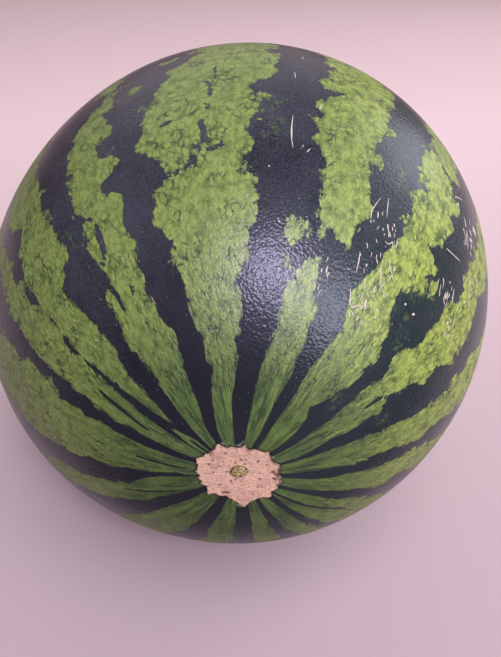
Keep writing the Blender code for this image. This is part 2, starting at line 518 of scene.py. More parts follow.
def grow_tree(name, skin, source):
    """Geometry node tree: a source on the unit ball, the skin, Realize Instances, Set Material.

    source(tree, start) returns the wire of the geometry on the unit ball.
    """
    tree = bpy.data.node_groups.new(name, "GeometryNodeTree")
    add_socket(tree, "Geometry", "NodeSocketGeometry")
    for size, value in SKIN_SIZES.items():
        add_socket(tree, size, "NodeSocketFloat", default=value)
    add_socket(tree, "Middle", "NodeSocketVector", default=(0.0, 0.0, 0.0))
    add_socket(tree, "Material", "NodeSocketMaterial")
    add_socket(tree, "Geometry", "NodeSocketGeometry", side="OUTPUT")
    start = tree.nodes.new("NodeGroupInput")
    shape = tree.nodes.new("GeometryNodeGroup")
    shape.node_tree = skin
    feed(tree, shape.inputs["Geometry"], source(tree, start))
    for size in [*SKIN_SIZES, "Middle"]:
        tree.links.new(start.outputs[size], shape.inputs[size])
    smooth = tree.nodes.new("GeometryNodeSetShadeSmooth")
    realize = tree.nodes.new("GeometryNodeRealizeInstances")
    paint = tree.nodes.new("GeometryNodeSetMaterial")
    finish = tree.nodes.new("NodeGroupOutput")
    tree.links.new(shape.outputs[0], smooth.inputs["Geometry"])
    tree.links.new(smooth.outputs[0], realize.inputs[0])
    tree.links.new(realize.outputs[0], paint.inputs["Geometry"])
    tree.links.new(start.outputs["Material"], paint.inputs["Material"])
    tree.links.new(paint.outputs[0], finish.inputs[0])
    return tree


def ball_source(tree, start):
    """A closed ball of radius one, with its poles on Z."""
    ball = tree.nodes.new("GeometryNodeMeshUVSphere")
    ball.inputs["Segments"].default_value = RIND_COLUMNS
    ball.inputs["Rings"].default_value = RIND_ROWS
    ball.inputs["Radius"].default_value = 1.0
    return Wire(tree, ball.outputs["Mesh"])


def drawn_source(tree, start):
    """The object's own mesh, drawn on the unit ball."""
    return Wire(tree, start.outputs["Geometry"])


def sliver_source(tree, start):
    """Each drawn line becomes a closed sliver that tapers to its ends, half sunk in the ball."""
    line = tree.nodes.new("GeometryNodeMeshToCurve")
    tree.links.new(start.outputs["Geometry"], line.inputs[0])
    even = tree.nodes.new("GeometryNodeResampleCurve")
    even.inputs["Count"].default_value = SLIVER_STEPS
    along = tree.nodes.new("GeometryNodeSplineParameter")
    width = tree.nodes.new("GeometryNodeInputNamedAttribute")
    width.data_type = "FLOAT"
    width.inputs["Name"].default_value = "width"
    swell = calc(tree, "SINE", Wire(tree, along.outputs["Factor"]) * pi)
    swell = calc(tree, "POWER", swell + 0.04, 0.4)
    uneven = noise_at(tree, Wire(tree, tree.nodes.new("GeometryNodeInputPosition").outputs[0]), 60.0)
    radius = tree.nodes.new("GeometryNodeSetCurveRadius")
    feed(tree, radius.inputs["Radius"], Wire(tree, width.outputs[0]) * swell * (uneven + 0.40))
    ring = tree.nodes.new("GeometryNodeCurvePrimitiveCircle")
    ring.inputs["Resolution"].default_value = SLIVER_SIDES
    ring.inputs["Radius"].default_value = radians(1.0) / 2.0
    sweep = tree.nodes.new("GeometryNodeCurveToMesh")
    sweep.inputs["Fill Caps"].default_value = True
    tree.links.new(line.outputs[0], even.inputs["Curve"])
    tree.links.new(even.outputs[0], radius.inputs["Curve"])
    tree.links.new(radius.outputs[0], sweep.inputs["Curve"])
    tree.links.new(ring.outputs[0], sweep.inputs["Profile Curve"])
    if "Scale" in sweep.inputs:
        curve_radius = tree.nodes.new("GeometryNodeInputRadius")
        tree.links.new(curve_radius.outputs[0], sweep.inputs["Scale"])
    return Wire(tree, sweep.outputs[0])


def grown(name, tree, mesh, material, sizes):
    """Runs a grow tree on a drawn mesh and returns a plain mesh object."""
    drawn = bpy.data.objects.new(name + "_drawn", mesh or bpy.data.meshes.new(name + "_drawn"))
    bpy.context.scene.collection.objects.link(drawn)
    modifier = drawn.modifiers.new("grow", "NODES")
    modifier.node_group = tree
    values = dict(sizes, Material=material)
    for item in tree.interface.items_tree:
        if item.item_type == "SOCKET" and item.in_out == "INPUT" and item.name in values:
            modifier[item.identifier] = values[item.name]
    depsgraph = bpy.context.evaluated_depsgraph_get()
    result = bpy.data.meshes.new_from_object(drawn.evaluated_get(depsgraph), depsgraph=depsgraph)
    bpy.data.objects.remove(drawn, do_unlink=True)
    result.name = name
    piece = bpy.data.objects.new(name, result)
    bpy.context.scene.collection.objects.link(piece)
    return piece


def corners(mesh):
    points = np.empty(len(mesh.vertices) * 3)
    mesh.vertices.foreach_get("co", points)
    points = points.reshape(-1, 3)
    return points.min(0), points.max(0), points


def fit_to_frame(tree):
    """Sizes that make the fruit as wide as the CAD solid and stand it where that solid stands."""
    trial = grown("trial", tree, None, None, {})
    low, high, _ = corners(trial.data)
    bpy.data.objects.remove(trial, do_unlink=True)
    cad_low, cad_high = (np.array(corner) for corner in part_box(FRUIT))
    girth_radius = (cad_high[0] - cad_low[0]) / (high[0] - low[0])
    middle = (cad_low + cad_high) / 2.0 - (low + high) / 2.0 * girth_radius
    middle[2] = cad_low[2] - (low[2] + FOOT_DEPTH) * girth_radius
    return {
        "Girth radius": float(girth_radius),
        "Middle": tuple(float(v) for v in middle),
        "Foot height": float(cad_low[2]),
    }


# ---------------------------------------------------------------- stripes on the skin


def stripe_reach(rows, colatitude, longitude):
    """Degrees of longitude from each point to the nearer edge of one stripe, positive inside."""
    along = [row[0] for row in rows]
    left = np.interp(colatitude, along, [row[1] for row in rows])
    right = np.interp(colatitude, along, [row[2] for row in rows])
    middle, half = (left + right) / 2.0, (right - left) / 2.0
    across = np.abs((longitude - middle + 180.0) % 360.0 - 180.0)
    inside = half - across
    if along[0] > 0:
        inside = np.minimum(inside, colatitude - along[0] + 0.5)
    if along[-1] < 180:
        inside = np.minimum(inside, along[-1] - colatitude + 0.5)
    return inside


def cleft_reach(points, colatitude, longitude, narrowing):
    """Degrees over the skin from each point to the nearest stretch of one cleft."""
    nearest = np.full(colatitude.shape, 360.0)
    for (a0, b0), (a1, b1) in zip(points, points[1:]):
        run = np.array((a1 - a0, b1 - b0))
        da, db = colatitude - a0, (longitude - b0 + 180.0) % 360.0 - 180.0
        share = np.clip((da * run[0] + db * run[1]) / (run @ run), 0.0, 1.0)
        across = (db - share * run[1]) * narrowing
        nearest = np.minimum(nearest, np.hypot(da - share * run[0], across))
    return nearest


def patch_reach(lat, lon, half_length, half_width, colatitude, longitude):
    """How far each point lies from the middle of an oval patch: 1 on its edge."""
    off = (longitude - lon + 180.0) % 360.0 - 180.0
    return np.hypot((colatitude - lat) / half_length, off / half_width)


def add_marks(piece, middle):
    """Stores for each point how far it lies inside (above 0) a light stripe, in a faint mottle,
    and past the scar's rim.
    """
    _, _, points = corners(piece.data)
    x, y, z = (points - middle).T
    colatitude = np.degrees(np.arctan2(np.hypot(x, z), -y))
    longitude = np.degrees(np.arctan2(x, z))
    field = np.full(colatitude.shape, FAR_OUTSIDE)
    for rows in LIGHT_STRIPES.values():
        field = np.maximum(field, stripe_reach(rows, colatitude, longitude))
    for lat, lon, half_length, half_width, sunk in LIGHT_ISLANDS:
        within = 1.0 - patch_reach(lat, lon, half_length, half_width, colatitude, longitude)
        field = np.maximum(field, within * min(half_length, half_width) - sunk)
    narrowing = np.maximum(np.sin(np.radians(colatitude)), 0.05)
    clefts = [(CLEFT_HALF_WIDTH, route) for route in DARK_CLEFTS] + WIDE_CLEFTS
    for half_width, route in clefts:
        gap = cleft_reach(route, colatitude, longitude, narrowing) - half_width
        field = np.minimum(field, CLEFT_STEEPNESS * gap / narrowing)
    past_scar = np.full(colatitude.shape, SCAR_NEIGHBOURHOOD)
    for index in np.flatnonzero(colatitude < SCAR_NEIGHBOURHOOD):
        past_scar[index] = colatitude[index] - scar_rim(longitude[index])
    mottle = np.zeros(colatitude.shape)
    for patch in FAINT_MOTTLES:
        mottle = np.maximum(mottle, 1.0 - patch_reach(*patch, colatitude, longitude))
    for name, values in (("stripe", field), ("past_scar", past_scar), ("mottle", mottle)):
        store = piece.data.attributes.new(name, "FLOAT", "POINT")
        store.data.foreach_set("value", values.astype(np.float32))


# ---------------------------------------------------------------- shader groups


def new_shader_group(name, inputs, outputs):
    tree = bpy.data.node_groups.new(name, "ShaderNodeTree")
    for label, kind, default in inputs:
        add_socket(tree, label, kind, default=default)
    for label, kind in outputs:
        add_socket(tree, label, kind, side="OUTPUT")
    start, finish = tree.nodes.new("NodeGroupInput"), tree.nodes.new("NodeGroupOutput")
    return tree, {s.name: Wire(tree, s) for s in start.outputs if s.name}, finish


def skin_flow_group():
    """Place on the fruit as flow coordinates, one unit to the degree, with the colatitude."""
    tree, given, finish = new_shader_group(
        "skin_flow",
        [("Place", "NodeSocketVector", None)],
        [("Flow", "NodeSocketVector"), ("Colatitude", "NodeSocketFloat")],
    )
    x, y, z = split(tree, given["Place"])
    off_axis = calc(tree, "SQRT", x * x + z * z + 1e-12)
    colatitude = calc(tree, "ARCTAN2", off_axis, y * -1.0) * degrees(1.0)
    round_x, round_z = x / off_axis * degrees(1.0), z / off_axis * degrees(1.0)
    feed(tree, finish.inputs["Flow"], joined(tree, round_x, colatitude, round_z))
    feed(tree, finish.inputs["Colatitude"], colatitude)
    return tree


def fine_grain_group():
    """Height of small pores and pimples, from Place in metres."""
    tree, given, finish = new_shader_group(
        "fine_grain",
        [
            ("Place", "NodeSocketVector", None),
            ("Grain size", "NodeSocketFloat", 0.001),
            ("Pimples", "NodeSocketFloat", 0.5),
        ],
        [("Height", "NodeSocketFloat")],
    )
    rate = calc(tree, "DIVIDE", 1.0, given["Grain size"])
    soft = noise_at(tree, given["Place"], rate * 0.7, 3.0, 0.65)
    cells = cells_at(tree, given["Place"], rate, "SMOOTH_F1")
    feed(tree, finish.inputs["Height"], soft + (0.6 - cells) * given["Pimples"])
    return tree


def placed_group(tree, group, **values):
    """Places a shader node group and sets or links its inputs by name."""
    node = tree.nodes.new("ShaderNodeGroup")
    node.node_tree = group
    for name, value in values.items():
        feed(tree, node.inputs[name.replace("_", " ")], value)
    return node


def start_material(name, **plain):
    """A material with its Principled shader, and plain numbers on that shader's own sockets."""
    material = bpy.data.materials.new(name)
    material.use_nodes = True
    tree = material.node_tree
    shader = tree.nodes["Principled BSDF"]
    for label, value in plain.items():
        shader.inputs[label.replace("_", " ")].default_value = value
    return material, tree, shader


def centred_place(tree, middle):
    """Object coordinates measured from the middle of the fruit."""
    where = tree.nodes.new("ShaderNodeTexCoord")
    shift = tree.nodes.new("ShaderNodeMapping")
    shift.inputs["Location"].default_value = tuple(-v for v in middle)
    tree.links.new(where.outputs["Object"], shift.inputs["Vector"])
    return Wire(tree, shift.outputs["Vector"])


def mark_at(tree, name):
    """A value stored on the points of the mesh."""
    node = tree.nodes.new("ShaderNodeAttribute")
    node.attribute_name = name
    return Wire(tree, node.outputs["Fac"])


def bump(tree, shader, height, distance, strength=1.0):
    node = tree.nodes.new("ShaderNodeBump")
    node.inputs["Distance"].default_value = distance
    node.inputs["Strength"].default_value = strength
    feed(tree, node.inputs["Height"], height)
    tree.links.new(node.outputs[0], shader.inputs["Normal"])


# ---------------------------------------------------------------- materials

LIGHT_GREEN = (0.222, 0.288, 0.070)
LIGHT_YELLOW = (0.385, 0.465, 0.085)
MID_GREEN = (0.095, 0.138, 0.028)
MOTTLE_GREEN = (0.060, 0.100, 0.038)
DEEP_GREEN = (0.082, 0.147, 0.029)
VEIN_GREEN = (0.023, 0.042, 0.016)
DARK_RIND = (0.0085, 0.0090, 0.0145)
DARK_TEAL = (0.0085, 0.0190, 0.0200)
# Bloom colours of the dark stripes: partly wax bloom, partly painted sheen
DARK_BLOOM_AND_SHEEN = (0.050, 0.048, 0.068)
TEAL_BLOOM_AND_SHEEN = (0.040, 0.050, 0.058)
PALE_RIM = (0.36, 0.41, 0.30)
GROUND_CREAM = (0.52, 0.43, 0.18)
# Dark line round the blossom scar: partly seam, partly painted shadow
SCAR_SEAM_AND_SHADOW = (0.012, 0.010, 0.010)
SPECK = (0.40, 0.38, 0.38)

# Cork of each kind: pale tissue, deep tissue, colour of its pits, and grain size in metres
CORK_LOOKS = {
    "blossom_cork": ((0.66, 0.425, 0.305), (0.42, 0.235, 0.165), (0.075, 0.028, 0.022), 0.0007),
    "stem_cork": ((0.46, 0.34, 0.20), (0.28, 0.19, 0.10), (0.07, 0.04, 0.02), 0.0008),
    "scratch_cork": ((0.68, 0.59, 0.52), (0.52, 0.41, 0.34), (0.3, 0.2, 0.1), 0.0006),
}


def stripe_pattern_group():
    """Turns the smooth stripes into lobed ones, and gives the cells and veins inside them.

    Inside is in degrees, above 0 in the light stripes. Glow is high in the middle of each
    small cell, and Vein on the dark walls between the cells.
    """
    tree, given, finish = new_shader_group(
        "stripe_pattern",
        [
            ("Flow", "NodeSocketVector", None),
            ("Colatitude", "NodeSocketFloat", 90.0),
            ("Stripe", "NodeSocketFloat", 0.0),
            ("Lobe size", "NodeSocketFloat", 4.2),
            ("Cell size", "NodeSocketFloat", 1.45),
        ],
        [("Inside", "NodeSocketFloat"), ("Glow", "NodeSocketFloat"), ("Vein", "NodeSocketFloat")],
    )
    flow, colatitude = given["Flow"], given["Colatitude"]
    drift = noise_at(tree, flow, 0.42, 1.0, 0.5, output=1)
    drift = scaled(tree, vector_calc(tree, "SUBTRACT", drift, (0.5, 0.5, 0.5)), 1.9)
    shiver = noise_at(tree, flow, 1.7, 2.0, 0.5, output=1)
    shiver = scaled(tree, vector_calc(tree, "SUBTRACT", shiver, (0.5, 0.5, 0.5)), 0.75)
    bent = vector_calc(tree, "ADD", vector_calc(tree, "ADD", flow, drift), shiver)

    per_cell = calc(tree, "DIVIDE", 1.0, given["Cell size"])
    lobe = cells_at(tree, bent, calc(tree, "DIVIDE", 1.0, given["Lobe size"]))
    drawn_out = vector_calc(tree, "MULTIPLY", bent, (1.0, 0.82, 1.0))
    cell = cells_at(tree, drawn_out, per_cell)
    crumb = cells_at(tree, drawn_out, per_cell * 2.1)
    from_end = calc(tree, "MINIMUM", colatitude, 180.0 - colatitude)
    calm = ramp01(tree, from_end, 9.0, 32.0)
    calm_end = ramp01(tree, from_end, 12.0, 36.0)
    ragged = (0.50 - lobe) * 4.4 + (0.50 - cell) * 1.7 + (0.50 - crumb) * 0.7
    tiny = noise_at(tree, flow, 2.2, 3.0, 0.65) - 0.5
    inside = given["Stripe"] + 0.15 + ragged * (calm * 0.84 + 0.16) + tiny * 1.5
    feed(tree, finish.inputs["Inside"], inside)

    glow = ramp01(tree, cell, 0.80, 0.20) * 0.5 + ramp01(tree, crumb, 0.80, 0.20) * 0.5
    feed(tree, finish.inputs["Glow"], glow)

    patchy = ramp01(tree, noise_at(tree, flow, 0.26, 2.0), 0.44, 0.66)
    broken = ramp01(tree, noise_at(tree, flow, 0.85, 2.0, 0.6), 0.42, 0.60)
    wall = cells_at(tree, drawn_out, per_cell, "DISTANCE_TO_EDGE")
    thin_wall = cells_at(tree, drawn_out, per_cell * 2.1, "DISTANCE_TO_EDGE")
    near_edge = 1.0 - ramp01(tree, inside, 0.0, 2.0)
    wall = 1.0 - ramp01(tree, wall, 0.0, patchy * 0.13 + 0.09)
    vein = wall * (patchy * 0.66 + near_edge * 0.22 + 0.24) * (broken * 0.65 + 0.35)
    vein = vein + (1.0 - ramp01(tree, thin_wall, 0.0, 0.22)) * 0.14
    # Towards both ends the veins run as broken streaks along the meridians
    bundle = ramp01(tree, noise_at(tree, flow, 0.17, 2.0, 0.7), 0.40, 0.60)
    streaks = []
    for rate in (0.24, 0.55):
        stretched = vector_calc(tree, "MULTIPLY", bent, (1.0, 0.12, 1.0))
        ridge = calc(tree, "ABSOLUTE", noise_at(tree, stretched, rate, 3.0, 0.7) - 0.5)
        streaks.append(1.0 - ramp01(tree, ridge, 0.0, 0.110))
    streak = calc(tree, "MAXIMUM", *streaks) * (1.0 - calm_end * 0.95) * (bundle * 0.5 + 0.5)
    feed(tree, finish.inputs["Vein"], clamp01(tree, vein * (calm * 0.7 + 0.3) + streak * 0.96))
    return tree


def rind_material(flow_group, pattern_group, grain_group, middle):
    material, tree, shader = start_material(
        "rind", IOR=1.45, Specular_IOR_Level=0.34, Coat_Roughness=0.42
    )
    place = centred_place(tree, middle)
    flow = placed_group(tree, flow_group, Place=place)
    flow, colatitude = (Wire(tree, flow.outputs[n]) for n in ("Flow", "Colatitude"))
    stripe, past_scar = mark_at(tree, "stripe"), mark_at(tree, "past_scar")
    pattern = placed_group(tree, pattern_group, Flow=flow, Colatitude=colatitude, Stripe=stripe)
    inside, glow, vein = (Wire(tree, pattern.outputs[n]) for n in ("Inside", "Glow", "Vein"))
    light = ramp01(tree, inside, -0.20, 0.24)
    rim = 1.0 - ramp01(tree, inside, 0.1, 0.9)

    # Light stripes: yellower and brighter towards +X, darker near the blossom (partly painted shade)
    side = split(tree, place)[0]
    # Share that makes the light stripes yellower and brighter, and the dark stripes tealer, towards +X
    toward_plus_x = ramp01(tree, side * 3.2 + noise_at(tree, place, 8.0, 2.0), 0.38, 0.98)
    green = mixed(tree, toward_plus_x, LIGHT_GREEN, LIGHT_YELLOW)
    tone = ramp01(tree, noise_at(tree, flow, 0.50, 3.0, 0.65), 0.34, 0.60)
    green = mixed(tree, clamp01(tree, glow * 0.55 + tone * 0.60), MID_GREEN, green)
    # Darker, deeper green towards the blossom end: partly the stripes' own colour, partly painted shade
    shade = 1.0 - ramp01(tree, colatitude, 8.0, 36.0)
    green = mixed(tree, shade * 0.70, green, DEEP_GREEN)
    green = mixed(tree, vein, green, VEIN_GREEN)
    green = mixed(tree, rim * 0.35, green, VEIN_GREEN)

    # Dark stripes: fine-grained wax bloom, partly painted sheen, tealer towards +X, with faint green
    # mottles
    veil = ramp01(tree, noise_at(tree, flow, 0.10, 2.0, 0.6), 0.30, 0.70)
    dust = ramp01(tree, noise_at(tree, flow, 2.4, 3.0, 0.75), 0.40, 0.66)
    dark = mixed(tree, toward_plus_x, DARK_RIND, DARK_TEAL)
    # Bloom and painted sheen fade towards the blossom end, so the dark stripes there are painted shade
    bloom_and_sheen = (dust * 0.62 + veil * 0.36) * (ramp01(tree, colatitude, 10.0, 60.0) * 0.95 + 0.10)
    dark = mixed(tree, clamp01(tree, bloom_and_sheen), dark, mixed(tree, toward_plus_x, DARK_BLOOM_AND_SHEEN, TEAL_BLOOM_AND_SHEEN))
    fleck = ramp01(tree, noise_at(tree, flow, 0.75, 4.0, 0.7), 0.60, 0.72)
    nearby = ramp01(tree, inside, -4.0, -0.3)
    dark = mixed(tree, fleck * nearby * 0.40, dark, VEIN_GREEN)
    dapple = ramp01(tree, noise_at(tree, flow, 0.60, 4.0, 0.7), 0.46, 0.66)
    dapple = dapple * mark_at(tree, "mottle")
    dark = mixed(tree, clamp01(tree, dapple * 1.6), dark, MOTTLE_GREEN)
    specks = 1.0 - ramp01(tree, cells_at(tree, flow, 0.42), 0.030, 0.055)
    dark = mixed(tree, specks * 0.8, dark, SPECK)

    skin = mixed(tree, light, dark, green)

    # Pale spots round the blossom scar, and a dark line under its rim: partly seam, partly painted shadow
    collar = 1.0 - ramp01(tree, past_scar, 0.3, 1.3)
    blotch = ramp01(tree, noise_at(tree, place, 230.0, 2.0), 0.60, 0.68)
    skin = mixed(tree, collar * blotch * 0.6, skin, PALE_RIM)
    seam_and_shadow = 1.0 - ramp01(tree, past_scar, 0.05, 0.50)
    skin = mixed(tree, seam_and_shadow * 0.70, skin, SCAR_SEAM_AND_SHADOW)

    # A waxy film, worn off the underside
    height = split(tree, place)[2]
    feed(tree, shader.inputs["Coat Weight"], ramp01(tree, height, -0.075, 0.02) * 0.16)

    # Cream ground spot on the underside, where the fruit lay on the soil
    edge = (noise_at(tree, place, 22.0, 3.0) - 0.5) * 0.035
    ground = ramp01(tree, edge - height, 0.098, 0.119)
    skin = mixed(tree, ground * 0.8, skin, GROUND_CREAM)
    feed(tree, shader.inputs["Base Color"], skin)

    grain = placed_group(tree, grain_group, Place=place, Grain_size=0.0010, Pimples=1.0)
    grain = Wire(tree, grain.outputs["Height"])
    smear = noise_at(tree, place, 60.0, 4.0, 0.6)
    feed(tree, shader.inputs["Roughness"], light * 0.18 + 0.14 + smear * 0.11)
    bump(tree, shader, grain - vein * light * 0.6 + glow * light * 0.25, 0.00015, 1.0)
    return material


def cork_material(name, grain_group, middle, pale, deep, pit_colour, grain_size):
    """Dry scar tissue. The mesh's "pit" value darkens pits and its "rim" value its rim, which is partly
    torn tissue and partly painted shadow under the curled edge.
    """
    material, tree, shader = start_material(name, IOR=1.4, Specular_IOR_Level=0.25)
    place = centred_place(tree, middle)
    grain = placed_group(tree, grain_group, Place=place, Grain_size=grain_size, Pimples=0.9)
    grain = Wire(tree, grain.outputs["Height"])
    pit, rim = mark_at(tree, "pit"), mark_at(tree, "rim")
    blotch = noise_at(tree, place, 170.0, 5.0, 0.8)
    tissue = mixed(tree, ramp01(tree, blotch, 0.30, 0.56), deep, pale)
    crumbs = ramp01(tree, noise_at(tree, place, 1100.0, 3.0, 0.7), 0.46, 0.62)
    tissue = mixed(tree, crumbs * 0.60, tissue, deep)
    torn = ramp01(tree, noise_at(tree, place, 150.0, 3.0, 0.6), 0.60, 0.68)
    torn = torn * ramp01(tree, rim, 0.86, 0.97)
    # Dark outer edge and side wall: partly torn tissue, partly painted shadow under the curled rim
    edge = ramp01(tree, rim, 0.955, 1.0) * ramp01(tree, blotch, 0.60, 0.44) * 0.75
    tissue = mixed(tree, clamp01(tree, torn * 0.8 + edge + pit), tissue, pit_colour)
    feed(tree, shader.inputs["Base Color"], tissue)
    feed(tree, shader.inputs["Roughness"], blotch * 0.2 + 0.68)
    bump(tree, shader, grain, 0.00035, 0.9)
    return material


def nub_material(grain_group, middle):
    material, tree, shader = start_material("style_nub", IOR=1.4, Specular_IOR_Level=0.35)
    place = centred_place(tree, middle)
    grain = placed_group(tree, grain_group, Place=place, Grain_size=0.0006, Pimples=0.7)
    grain = Wire(tree, grain.outputs["Height"])
    blotch = ramp01(tree, noise_at(tree, place, 420.0, 4.0, 0.7), 0.35, 0.62)
    colour = mixed(tree, blotch, (0.21, 0.145, 0.050), (0.43, 0.315, 0.145))
    # The "pit" value here is painted shade in the hollows between lumps and a painted shadow ring at the
    # foot
    colour = mixed(tree, mark_at(tree, "pit"), colour, (0.060, 0.042, 0.016))
    feed(tree, shader.inputs["Base Color"], colour)
    feed(tree, shader.inputs["Roughness"], blotch * 0.15 + 0.5)
    bump(tree, shader, grain, 0.0003, 0.8)
    return material


# ---------------------------------------------------------------- pieces


def ball_point(colatitude, longitude, lift=0.0):
    """A point over the unit ball, from degrees and a lift in shares of the radius."""
    a, b = radians(colatitude), radians(longitude)
    return Vector((sin(a) * cos(b), sin(a) * sin(b), -cos(a))) * (1.0 + lift)


def turn_at(column, columns):
    """Longitude of one of the columns, in degrees."""
    return -180.0 + 360.0 * column / columns


def ring_mesh(name, columns, rings, point_at, marks_at, foot_lift):
    """A closed button: rings of points from the middle outwards, then a sunken underside.

    point_at(ring, column) gives colatitude, longitude and lift, and marks_at the mesh's
    "pit" and "rim" values there.
    """
    mesh = bpy.data.meshes.new(name)
    bm = bmesh.new()
    pit_layer = bm.verts.layers.float.new("pit")
    rim_layer = bm.verts.layers.float.new("rim")

    def add(colatitude, longitude, lift, pit, rim):
        vert = bm.verts.new(ball_point(colatitude, longitude, lift))
        vert[pit_layer], vert[rim_layer] = pit, rim
        return vert

    top = add(*point_at(0, 0), *marks_at(0, 0))
    loops = []
    for ring in range(1, rings + 1):
        loops.append([add(*point_at(ring, c), *marks_at(ring, c)) for c in range(columns)])
    sunk = []
    for c in range(columns):
        colatitude, longitude, _ = point_at(rings, c)
        sunk.append(add(colatitude, longitude, foot_lift, 0.0, 1.0))
    loops.append(sunk)
    for c in range(columns):
        bm.faces.new((top, loops[0][c], loops[0][(c + 1) % columns]))
    for inner, outer in zip(loops, loops[1:]):
        for c in range(columns):
            n = (c + 1) % columns
            bm.faces.new((inner[c], outer[c], outer[n], inner[n]))
    under = add(point_at(0, 0)[0], 0.0, foot_lift, 0.0, 0.0)
    for c in range(columns):
        bm.faces.new((under, sunk[(c + 1) % columns], sunk[c]))
    bmesh.ops.recalc_face_normals(bm, faces=bm.faces)
    bm.to_mesh(mesh)
    bm.free()
    return mesh


def scar_rim(longitude):
    """Colatitude of the scar's jagged rim."""
    along = [point[0] for point in SCAR_OUTLINE]
    reach = [point[1] for point in SCAR_OUTLINE]
    base = np.interp(longitude, along, reach, period=360.0)
    spot = ball_point(6.0, longitude) * 60.0
    return float(base) + 0.18 * noise.noise(spot) + 0.22 * abs(noise.noise(spot * 3.4)) - 0.05


def pit_places():
    """Middle of each pit on the unit ball, and its radius."""
    places = []
    for index, (share, longitude) in enumerate(SCAR_PITS):
        reach = radians(PIT_RADIUS * (0.7 + 0.5 * ((index * 7) % 5) / 4.0))
        places.append((ball_point(share * scar_rim(longitude), longitude), reach))
    return places


def pit_depth(pits, share, colatitude, longitude):
    """How deep in a pit or a tear a point of the scar lies, from 0 to 1."""
    here = ball_point(colatitude, longitude)
    deepest = max(1.0 - (here - centre).length / reach for centre, reach in pits)
    ragged = 0.6 * noise.noise(here * 130.0)
    for tear_share, tear_longitude, half_share, half_turn in SCAR_TEARS:
        away = sqrt(
            ((share - tear_share) / half_share) ** 2 + ((longitude - tear_longitude) / half_turn) ** 2
        )
        deepest = max(deepest, 0.9 * (1.0 - away) + ragged * max(0.0, 1.7 - away))
    return max(0.0, min(1.0, 1.6 * deepest))


def make_blossom_scar(tree, material, sizes):
    """Thin corky plate with a jagged, slightly curled rim."""
    pits = pit_places()

    def place(ring, column):
        longitude = turn_at(column, SCAR_COLUMNS)
        share = (ring / SCAR_RINGS) ** SCAR_RING_SPREAD
        colatitude = share * scar_rim(longitude)
        spot = ball_point(colatitude, longitude)
        grain = noise.noise(spot * 95.0) * 0.0011 + noise.noise(spot * 240.0) * 0.0007
        curl = SCAR_RIM_CURL * max(0.0, (share - 0.80) / 0.20) ** 2
        curl *= 0.55 + 0.9 * abs(noise.noise(spot * 22.0))
        moat = 0.0012 * max(0.0, 1.0 - abs(colatitude - 2.2) / 0.7)
        pit = PIT_DEPTH * pit_depth(pits, share, colatitude, longitude)
        return colatitude, longitude, SCAR_THICKNESS + grain + curl - moat - pit

    def marks(ring, column):
        colatitude, longitude, _ = place(ring, column)
        share = (ring / SCAR_RINGS) ** SCAR_RING_SPREAD
        return pit_depth(pits, share, colatitude, longitude), share

    mesh = ring_mesh("blossom_scar", SCAR_COLUMNS, SCAR_RINGS, place, marks, -BLOSSOM_SINK)
    return grown("blossom_scar", tree, mesh, material, sizes)


def make_style_nub(tree, material, sizes):
    """Small oval knob of dry, lumpy tissue, where the flower's style stood."""

    def lumps(share, longitude):
        spot = ball_point(share * STYLE_NUB_RADIUS, longitude)
        return noise.noise(spot * 120.0) + 0.6 * noise.noise(spot * 260.0)

    def place(ring, column):
        longitude = turn_at(column, STYLE_NUB_COLUMNS)
        share = ring / STYLE_NUB_RINGS
        radius = STYLE_NUB_RADIUS * (1.0 + 0.06 * cos(radians(2.0 * (longitude - 90.0))))
        radius *= 1.0 + 0.10 * lumps(1.0, longitude)
        dome = sqrt(max(0.0, 1.0 - (share * 0.98) ** 4))
        crater = 0.22 * max(0.0, 1.0 - share / 0.4)
        lift = STYLE_NUB_HEIGHT * (dome - crater) + 0.0030 * lumps(share, longitude) * dome
        return radius * share, longitude, lift

    def marks(ring, column):
        share = ring / STYLE_NUB_RINGS
        longitude = turn_at(column, STYLE_NUB_COLUMNS)
        # Painted shade in the hollows between the lumps, and a painted shadow ring near the rim
        hollow_shade = max(0.0, -lumps(share, longitude)) * 1.6
        return min(1.0, hollow_shade + 0.6 * max(0.0, (share - 0.80) / 0.20)), share

    mesh = ring_mesh(
        "style_nub", STYLE_NUB_COLUMNS, STYLE_NUB_RINGS, place, marks, -BLOSSOM_SINK
    )
    return grown("style_nub", tree, mesh, material, sizes)


def stem_crack(longitude, share):
    """Depth of the irregular cracks that run outwards in the stem scar, from 0 to 1."""
    turn = radians(longitude)
    spot = Vector((3.2 * cos(turn), 3.2 * sin(turn), 1.1 * share))
    return share * max(0.0, 1.0 - 9.0 * abs(noise.noise(spot)))


def make_stem_scar(tree, material, sizes):
    """Round corky scar in the stem dimple, with rings and radial cracks."""

    def place(ring, column):
        longitude = turn_at(column, STEM_SCAR_COLUMNS)
        share = ring / STEM_SCAR_RINGS
        edge = STEM_SCAR_RADIUS * (1.0 + 0.05 * noise.noise(ball_point(6, longitude) * 30.0))
        spot = ball_point(share * edge, longitude)
        dome = sqrt(max(0.0, 1.0 - (share * 0.985) ** 6))
        rings_relief = 0.0014 * cos(share * 5.0 * pi)
        cracks = 0.0030 * stem_crack(longitude, share)
        grain = 0.0016 * noise.noise(spot * 110.0)
        lift = STEM_SCAR_HEIGHT * dome + rings_relief - cracks + grain
        return 180.0 - share * edge, longitude, lift

    def marks(ring, column):
        share = ring / STEM_SCAR_RINGS
        longitude = turn_at(column, STEM_SCAR_COLUMNS)
        dark_middle = 0.4 * max(0.0, 1.0 - share / 0.3)
        return min(1.0, 0.8 * stem_crack(longitude, share) + dark_middle), share

    mesh = ring_mesh(
        "stem_scar", STEM_SCAR_COLUMNS, STEM_SCAR_RINGS, place, marks, -STEM_SINK
    )
    return grown("stem_scar", tree, mesh, material, sizes)


